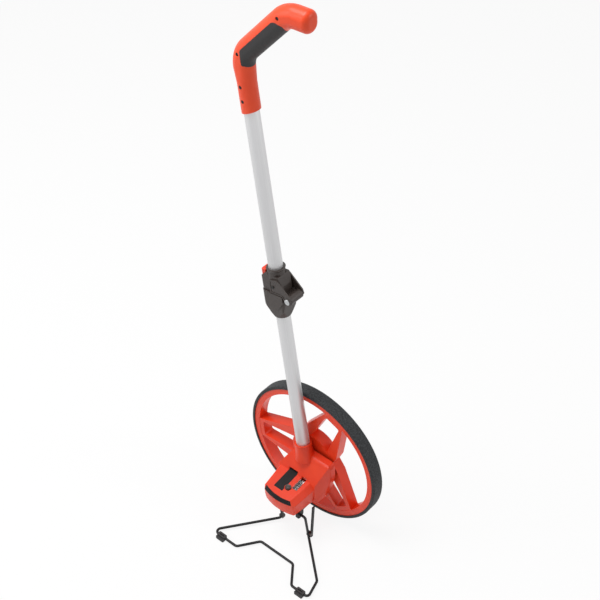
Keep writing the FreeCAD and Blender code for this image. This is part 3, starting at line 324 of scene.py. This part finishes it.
# Label: a bare plate of black film in the shallow bed beside the counter. The
# film is smooth, with a slow waviness that blurs its reflections unevenly.
black_film, tree = new_material("gloss_black_film")
where = add(tree, "ShaderNodeTexCoord").outputs["Object"]
wave = add(tree, "ShaderNodeTexNoise", {"Vector": where, "Scale": 1000 / 11, "Detail": 2.0})
dull = add(tree, "ShaderNodeMapRange", {0: wave.outputs["Fac"], 3: 0.30, 4: 0.42})
tone = add(tree, "ShaderNodeMix", {0: wave.outputs["Fac"], 6: linear("08080A"), 7: linear("121214")},
           data_type="RGBA")
skin = add(tree, "ShaderNodeBsdfPrincipled", {"Base Color": tone.outputs[2], "Roughness": dull.outputs[0],
                                             "IOR": 1.5, "Specular IOR Level": 0.22})
add(tree, "ShaderNodeOutputMaterial", {"Surface": skin.outputs[0]})
eased(black_film, 0.15, "label_plate")


# Nose strip: a bare band of the same film on a 0.8 mm carrier, in the lip's
# bevelled bed. It is taken off the bed itself and ends square at both sides.
to_front = front_frame.inverted()
bevel_reach = 0.00003
bed_back = -0.080
strip_middle, strip_half = -0.001, 0.031


def on_bevel(point):
    """True where a point lies on the lip's cone."""
    local = to_front @ point
    across = math.hypot(local.x, local.y) - front_r
    off = across * math.sin(strip_slope) + local.z * math.cos(strip_slope)
    return abs(off) < bevel_reach and point.y < bed_back


band = bpy.data.objects.new("nose_strip_band", shell.data.copy())
bpy.context.scene.collection.objects.link(band)
pick(band)
bpy.ops.object.mode_set(mode="EDIT")
bpy.ops.mesh.select_mode(type="FACE")
bpy.ops.mesh.select_all(action="DESELECT")
bpy.ops.object.mode_set(mode="OBJECT")
for face in band.data.polygons:
    face.select = not all(on_bevel(band.data.vertices[k].co) for k in face.vertices)
bpy.ops.object.mode_set(mode="EDIT")
bpy.ops.mesh.delete(type="FACE")
for side in (-1, 1):
    bpy.ops.mesh.select_all(action="SELECT")
    bpy.ops.mesh.bisect(plane_co=(strip_middle + side * strip_half, 0, 0), plane_no=(side, 0, 0),
                        clear_outer=True)
bpy.ops.object.mode_set(mode="OBJECT")
work(band, "SOLIDIFY", thickness=0.0008, offset=1.0)
bpy.ops.object.shade_smooth_by_angle(angle=math.radians(smooth_turn))
band.data.materials.clear()
band.data.materials.append(black_film)
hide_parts("nose_strip")
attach(band, "housing_body")


# Counter window: a clear polycarbonate pane over the drums. Dust and thumbs
# leave a very fine scuff on it.
clear_pc, tree = new_material("clear_polycarbonate")
where = add(tree, "ShaderNodeTexCoord").outputs["Object"]
scuff = add(tree, "ShaderNodeTexNoise", {"Vector": where, "Scale": 1000 / 2.5, "Detail": 5.0})
dull = add(tree, "ShaderNodeMapRange", {0: scuff.outputs["Fac"], 3: 0.02, 4: 0.07})
skin = add(tree, "ShaderNodeBsdfPrincipled", {"Base Color": linear("F4F7F7"), "Roughness": dull.outputs[0],
                                             "IOR": 1.58, "Transmission Weight": 1.0})
add(tree, "ShaderNodeOutputMaterial", {"Surface": skin.outputs[0]})
dress(clear_pc, "counter_window")


# Counter drums: five matt plastic drums on one shaft, four black and the last
# white for the tenths. The moulded skin has a grain of about a millimetre.
drum_black, tree = new_material("matt_black_drum_plastic")
where = add(tree, "ShaderNodeTexCoord").outputs["Object"]
etch = add(tree, "ShaderNodeTexNoise", {"Vector": where, "Scale": 1000 / 1.1, "Detail": 2.0})
tone = add(tree, "ShaderNodeMix", {0: etch.outputs["Fac"], 6: linear("101012"), 7: linear("1D1D20")},
           data_type="RGBA")
skin = add(tree, "ShaderNodeBsdfPrincipled", {"Base Color": tone.outputs[2], "Roughness": 0.55, "IOR": 1.5})
add(tree, "ShaderNodeOutputMaterial", {"Surface": skin.outputs[0]})
eased(drum_black, 0, "counter_drum_1", "counter_drum_2", "counter_drum_3", "counter_drum_4")

drum_white, tree = new_material("matt_white_drum_plastic")
where = add(tree, "ShaderNodeTexCoord").outputs["Object"]
etch = add(tree, "ShaderNodeTexNoise", {"Vector": where, "Scale": 1000 / 1.1, "Detail": 2.0})
tone = add(tree, "ShaderNodeMix", {0: etch.outputs["Fac"], 6: linear("DCDCD8"), 7: linear("F2F2EE")},
           data_type="RGBA")
skin = add(tree, "ShaderNodeBsdfPrincipled", {"Base Color": tone.outputs[2], "Roughness": 0.5, "IOR": 1.5})
add(tree, "ShaderNodeOutputMaterial", {"Surface": skin.outputs[0]})
eased(drum_white, 0, "counter_drum_5")


# Counter figures: 0 to 9 pad printed round each drum, 4.7 mm high, white on
# the four black drums of whole feet and black on the white drum of tenths.
# Each is drawn flat, cut in half-millimetre rows and wrapped on its drum.
white_ink, tree = new_material("pad_printed_white_ink")
where = add(tree, "ShaderNodeTexCoord").outputs["Object"]
film = add(tree, "ShaderNodeTexNoise", {"Vector": where, "Scale": 1000 / 0.8, "Detail": 2.0})
tone = add(tree, "ShaderNodeMix", {0: film.outputs["Fac"], 6: linear("E6E6E2"), 7: linear("F6F6F3")},
           data_type="RGBA")
skin = add(tree, "ShaderNodeBsdfPrincipled", {"Base Color": tone.outputs[2], "Roughness": 0.45, "IOR": 1.5})
add(tree, "ShaderNodeOutputMaterial", {"Surface": skin.outputs[0]})

black_ink, tree = new_material("pad_printed_black_ink")
where = add(tree, "ShaderNodeTexCoord").outputs["Object"]
film = add(tree, "ShaderNodeTexNoise", {"Vector": where, "Scale": 1000 / 0.8, "Detail": 2.0})
tone = add(tree, "ShaderNodeMix", {0: film.outputs["Fac"], 6: linear("0C0C0E"), 7: linear("1A1A1C")},
           data_type="RGBA")
skin = add(tree, "ShaderNodeBsdfPrincipled", {"Base Color": tone.outputs[2], "Roughness": 0.4, "IOR": 1.5})
add(tree, "ShaderNodeOutputMaterial", {"Surface": skin.outputs[0]})

# In millimetres, save the angle, which is in degrees.
drum_count, drum_r, drum_pitch = 5, 9.4, 5.5
drum_middle = Vector((15.0, -73.95, 103.5))
figure_count, figure_turn = 10, 36
figure_size, figure_weight = 6.4, 0.06
row_height = 0.5
ink_lift = 0.05


def print_figure(figure, drum):
    """One figure, wrapped on its drum."""
    bpy.ops.object.select_all(action="DESELECT")
    bpy.ops.object.text_add(location=(0, 0, 0))
    word = bpy.context.object
    word.data.body = str(figure)
    word.data.size = figure_size
    word.data.align_x = "CENTER"
    word.data.align_y = "CENTER"
    word.data.offset = figure_weight
    bpy.ops.object.convert(target="MESH")
    bpy.ops.object.mode_set(mode="EDIT")
    for row in range(-5, 6):
        bpy.ops.mesh.select_all(action="SELECT")
        bpy.ops.mesh.bisect(plane_co=(0, row * row_height, 0), plane_no=(0, 1, 0))
    bpy.ops.object.mode_set(mode="OBJECT")
    radius = drum_r + ink_lift
    for point in word.data.vertices:
        turn = point.co.y / drum_r - math.radians(figure_turn * figure)
        point.co = Vector((drum_middle.x - radius * math.sin(turn),
                           drum_middle.y + drum * drum_pitch + point.co.x,
                           drum_middle.z + radius * math.cos(turn))) / 1000
    return word


for drum in range(drum_count):
    figures = [print_figure(figure, drum) for figure in range(figure_count)]
    for word in figures:
        word.select_set(True)
    bpy.context.view_layer.objects.active = figures[0]
    bpy.ops.object.join()
    ring = bpy.context.object
    ring.name = "drum_figures_" + str(drum + 1)
    ring.data.materials.clear()
    ring.data.materials.append(black_ink if drum == drum_count - 1 else white_ink)
    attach(ring, "drum_body_" + str(drum + 1))


# Reset knob: a black cap of the same nylon on a thin stem, which the thumb
# presses against the spring to clear the count. Its top is dished in two steps
# round a small raised middle.
lip = Vector((0.0, -0.105, 0.112))
knob_place = (0.0034, 0.024, 0)
knob_r, knob_foot, knob_head = 0.0056, -0.0040, 0.0025
stem_r, stem_length = 0.0016, 0.0075
facing = 0.9
bpy.ops.object.select_all(action="DESELECT")
bpy.ops.mesh.primitive_cylinder_add(vertices=72, radius=knob_r, depth=knob_head - knob_foot,
                                    location=(0, 0, (knob_head + knob_foot) / 2))
knob = bpy.context.object
knob.name = "reset_knob_cap"
bpy.ops.object.transform_apply(location=True, rotation=False, scale=False)
bpy.ops.object.mode_set(mode="EDIT")
bpy.ops.mesh.select_mode(type="FACE")
bpy.ops.mesh.select_all(action="DESELECT")
bpy.ops.object.mode_set(mode="OBJECT")
for face in knob.data.polygons:
    face.select = face.normal.z > facing
bpy.ops.object.mode_set(mode="EDIT")
for inset, rise in ((0.0011, -0.0004), (0.0012, -0.0005), (0.0005, 0.0006)):
    bpy.ops.mesh.inset(thickness=inset)
    bpy.ops.transform.translate(value=(0, 0, rise))
bpy.ops.object.mode_set(mode="OBJECT")
for face in knob.data.polygons:
    face.select = face.normal.z < -facing
bpy.ops.object.mode_set(mode="EDIT")
bpy.ops.mesh.inset(thickness=knob_r - stem_r)
bpy.ops.mesh.extrude_region_move(TRANSFORM_OT_translate={"value": (0, 0, -stem_length)})
bpy.ops.object.mode_set(mode="OBJECT")
ease(knob, 0.25, 25)
bpy.ops.object.shade_smooth_by_angle(angle=math.radians(smooth_turn))
knob.data.transform(Matrix.Translation(lip) @ Matrix.Rotation(top_slope, 4, "X")
                    @ Matrix.Translation(knob_place))
knob.data.materials.append(dark_nylon)
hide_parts("reset_knob")
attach(knob, "reset")


# Pole tubes: drawn aluminium, 24.7 mm across with a 1.2 mm wall, sawn square
# with the cut ends just broken, and satin anodised clear. The draw lines are
# about a millimetre apart and run along the pole.
satin_tube, tree = new_material("satin_anodised_aluminium")
where = add(tree, "ShaderNodeTexCoord").outputs["Object"]
upright = add(tree, "ShaderNodeVectorRotate", {"Vector": where, "Angle": pole_lean},
              rotation_type="Y_AXIS")
turned = add(tree, "ShaderNodeMapping", {"Vector": upright.outputs[0],
                                        "Scale": (1000 / 1.2, 1000 / 1.2, 1000 / 250)})
lines = add(tree, "ShaderNodeTexNoise", {"Vector": turned.outputs[0], "Scale": 1.0, "Detail": 3.0})
tone = add(tree, "ShaderNodeMix", {0: lines.outputs["Fac"], 6: linear("CBCBCC"), 7: linear("DDDDDE")},
           data_type="RGBA")
gloss = add(tree, "ShaderNodeMapRange", {0: lines.outputs["Fac"], 3: 0.40, 4: 0.52})
draw = add(tree, "ShaderNodeBump", {"Height": lines.outputs["Fac"], "Strength": 0.12, "Distance": 0.0001})
skin = add(tree, "ShaderNodeBsdfPrincipled", {"Base Color": tone.outputs[2], "Metallic": 0.75,
                                             "Roughness": gloss.outputs[0], "Normal": draw.outputs[0]})
add(tree, "ShaderNodeOutputMaterial", {"Surface": skin.outputs[0]})

pole_frame = Matrix.Translation((0, -0.0285, 0.14553)) @ Matrix.Rotation(-pole_lean, 4, "Y")
to_pole = pole_frame.inverted()
tube_outer, tube_wall = 0.01235, 0.0012
for name in ("lower_tube", "upper_tube"):
    along = [(to_pole @ point.co).z for point in frame["nodes"][name].data.vertices]
    foot, head = min(along), max(along)
    bpy.ops.object.select_all(action="DESELECT")
    bpy.ops.mesh.primitive_cylinder_add(vertices=96, radius=tube_outer, depth=head - foot,
                                        end_fill_type="NOTHING", location=(0, 0, (head + foot) / 2))
    tube = bpy.context.object
    tube.name = name + "_drawn"
    bpy.ops.object.transform_apply(location=True, rotation=False, scale=False)
    work(tube, "SOLIDIFY", thickness=tube_wall, offset=-1.0)
    ease(tube, 0.2, 60)
    bpy.ops.object.shade_smooth_by_angle(angle=math.radians(smooth_turn))
    tube.data.transform(pole_frame)
    tube.data.materials.append(satin_tube)
    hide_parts(name)
    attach(tube, "housing_body" if name == "lower_tube" else "handle")


# Grip: two shells of ABS in a warmer orange red, screwed together round the
# tube. The skin is etched like the wheel's, with flow marks about 40 mm apart.
grip_abs, tree = new_material("satin_moulded_abs_orange_red")
where = add(tree, "ShaderNodeTexCoord").outputs["Object"]
flow = add(tree, "ShaderNodeTexNoise", {"Vector": where, "Scale": 1000 / 40, "Detail": 4.0,
                                       "Roughness": 0.55})
tone = add(tree, "ShaderNodeMix", {0: flow.outputs["Fac"], 6: linear("E83D15"), 7: linear("F85528")},
           data_type="RGBA")
sheen = add(tree, "ShaderNodeMapRange", {0: flow.outputs["Fac"], 3: 0.32, 4: 0.46})
etch = add(tree, "ShaderNodeTexNoise", {"Vector": where, "Scale": 1000 / 0.77, "Detail": 2.0})
grain = add(tree, "ShaderNodeBump", {"Height": etch.outputs["Fac"], "Strength": 0.2, "Distance": 0.00025})
skin = add(tree, "ShaderNodeBsdfPrincipled", {"Base Color": tone.outputs[2], "Roughness": sheen.outputs[0],
                                             "Normal": grain.outputs[0], "IOR": 1.54,
                                             "Specular IOR Level": 0.36})
add(tree, "ShaderNodeOutputMaterial", {"Surface": skin.outputs[0]})
eased(grip_abs, 0.5, "grip_front", "grip_rear")


# Grip pad and feet: soft black rubber, in the hollow of the hand and on the
# stand's wire. Both are moulded with a pimpled skin, about 2 mm from pimple to
# pimple.
pad_rubber, tree = new_material("soft_black_rubber")
where = add(tree, "ShaderNodeTexCoord").outputs["Object"]
bloom = add(tree, "ShaderNodeTexNoise", {"Vector": where, "Scale": 1000 / 6.2, "Detail": 5.0})
tone = add(tree, "ShaderNodeMix", {0: bloom.outputs["Fac"], 6: linear("121112"), 7: linear("2A2829")},
           data_type="RGBA")
dull = add(tree, "ShaderNodeMapRange", {0: bloom.outputs["Fac"], 3: 0.5, 4: 0.72})
pimple = add(tree, "ShaderNodeTexVoronoi", {"Vector": where, "Scale": 1000 / 1.9})
grain = add(tree, "ShaderNodeBump", {"Height": pimple.outputs["Distance"], "Strength": 0.3,
                                    "Distance": 0.0004})
skin = add(tree, "ShaderNodeBsdfPrincipled", {"Base Color": tone.outputs[2], "Roughness": dull.outputs[0],
                                             "Normal": grain.outputs[0], "IOR": 1.52})
add(tree, "ShaderNodeOutputMaterial", {"Surface": skin.outputs[0]})
eased(pad_rubber, 0.4, "grip_pad")
eased(pad_rubber, 0.5, "foot_left", "foot_right")


# Stand and black screws: 5 mm steel wire bent to shape, flat straps, the bracket that carries the wire and
# the screws that show. All but the grip screws are powder coated black, with an orange-peel skin of about
# 1.4 mm; the grip screws get the same black as painted shade, for they sit deep in their counterbores.
black_coat_and_shade, tree = new_material("black_powder_coat")
where = add(tree, "ShaderNodeTexCoord").outputs["Object"]
peel = add(tree, "ShaderNodeTexNoise", {"Vector": where, "Scale": 1000 / 1.4, "Detail": 2.0})
tone = add(tree, "ShaderNodeMix", {0: peel.outputs["Fac"], 6: linear("0B0B0C"), 7: linear("1A1A1C")},
           data_type="RGBA")
dull = add(tree, "ShaderNodeMapRange", {0: peel.outputs["Fac"], 3: 0.30, 4: 0.48})
ripple = add(tree, "ShaderNodeBump", {"Height": peel.outputs["Fac"], "Strength": 0.3, "Distance": 0.0003})
skin = add(tree, "ShaderNodeBsdfPrincipled", {"Base Color": tone.outputs[2], "Roughness": dull.outputs[0],
                                             "Normal": ripple.outputs[0], "IOR": 1.5,
                                             "Specular IOR Level": 0.3})
add(tree, "ShaderNodeOutputMaterial", {"Surface": skin.outputs[0]})
eased(black_coat_and_shade, 0, "stand_wire")
eased(black_coat_and_shade, 0.3, "brace_left", "brace_right", "stand_bracket")
# The grip screws are steel sitting deep in their counterbores; the black they get here is painted shade.
eased(black_coat_and_shade, 0.25, "bracket_screw_1", "bracket_screw_2", "plate_screw_1", "plate_screw_2", "plate_screw_3",
      "cheek_screw_front_1", "cheek_screw_rear_1", "grip_screw_1", "grip_screw_2", "grip_screw_3",
      "grip_screw_4")


# Studio: the wheel stands on a large sheet of white paper that runs out of
# view, with white card all round it. Card and paper are full white to the lens,
# in reflections and through the window, but light the wheel only mildly.
def bright_rays(tree):
    """1 for what the lens sees straight, in a reflection or through clear plastic."""
    path = add(tree, "ShaderNodeLightPath")
    seen = add(tree, "ShaderNodeMath", {0: path.outputs["Is Camera Ray"], 1: path.outputs["Is Glossy Ray"]},
               operation="MAXIMUM")
    seen = add(tree, "ShaderNodeMath", {0: seen.outputs[0], 1: path.outputs["Is Transmission Ray"]},
               operation="MAXIMUM")
    return seen.outputs[0]


bpy.ops.object.select_all(action="DESELECT")
bpy.ops.mesh.primitive_plane_add(size=40, location=(0, 0, -0.0004))
paper = bpy.context.object
paper.name = "studio_paper"
paper_mat, tree = new_material("matt_white_paper")
sheet = add(tree, "ShaderNodeBsdfDiffuse", {"Color": linear("FDFDFD")})
card = add(tree, "ShaderNodeEmission", {"Color": linear("FFFFFF"), "Strength": 1.0})
lift = add(tree, "ShaderNodeMath", {0: bright_rays(tree), 1: 0.88}, operation="MULTIPLY")
blend = add(tree, "ShaderNodeMixShader", {0: lift.outputs[0], 1: sheet.outputs[0], 2: card.outputs[0]})
add(tree, "ShaderNodeOutputMaterial", {"Surface": blend.outputs[0]})
paper.data.materials.append(paper_mat)

world = bpy.data.worlds.new("white_cards")
world.use_nodes = True
tree = world.node_tree
tree.nodes.clear()
dim = add(tree, "ShaderNodeBackground", {"Color": linear("FFFFFF"), "Strength": 0.34})
lit = add(tree, "ShaderNodeBackground", {"Color": linear("FFFFFF"), "Strength": 1.0})
sky = add(tree, "ShaderNodeMixShader", {0: bright_rays(tree), 1: dim.outputs[0], 2: lit.outputs[0]})
add(tree, "ShaderNodeOutputWorld", {"Surface": sky.outputs[0]})
bpy.context.scene.world = world


# Lamps: a broad soft box overhead, one to the left and a narrow one behind to
# the right, which edges the pole and the housing. All face the pole's foot.
pole_foot = Vector((0.0, 0.0, 0.4))


def soft_box(name, place, size, watts):
    """Hang a rectangular lamp; its place and size are in metres."""
    bpy.ops.object.light_add(type="AREA", location=place)
    lamp = bpy.context.object
    lamp.name = name
    lamp.data.shape = "RECTANGLE"
    lamp.data.size, lamp.data.size_y = size
    lamp.data.energy = watts
    lamp.rotation_mode = "QUATERNION"
    lamp.rotation_quaternion = (pole_foot - Vector(place)).to_track_quat("-Z", "Y")


soft_box("overhead_box", (-0.7, -0.5, 2.6), (1.2, 1.2), 38)
soft_box("left_box", (-1.9, -1.7, 1.5), (1.0, 1.6), 17)
soft_box("right_box", (2.2, 1.1, 1.8), (0.5, 1.2), 13)


# Camera: a long lens that looks down on the counter side.
camera_aim = Vector((-0.050, 0.014, 0.475))
bpy.ops.object.camera_add(location=(1.015, -1.229, 1.936))
camera = bpy.context.object
camera.rotation_mode = "QUATERNION"
camera.rotation_quaternion = (camera_aim - camera.location).to_track_quat("-Z", "Y")
camera.data.lens = 78
camera.data.sensor_width = 36
bpy.context.scene.camera = camera
bpy.context.scene.view_settings.view_transform = "Standard"
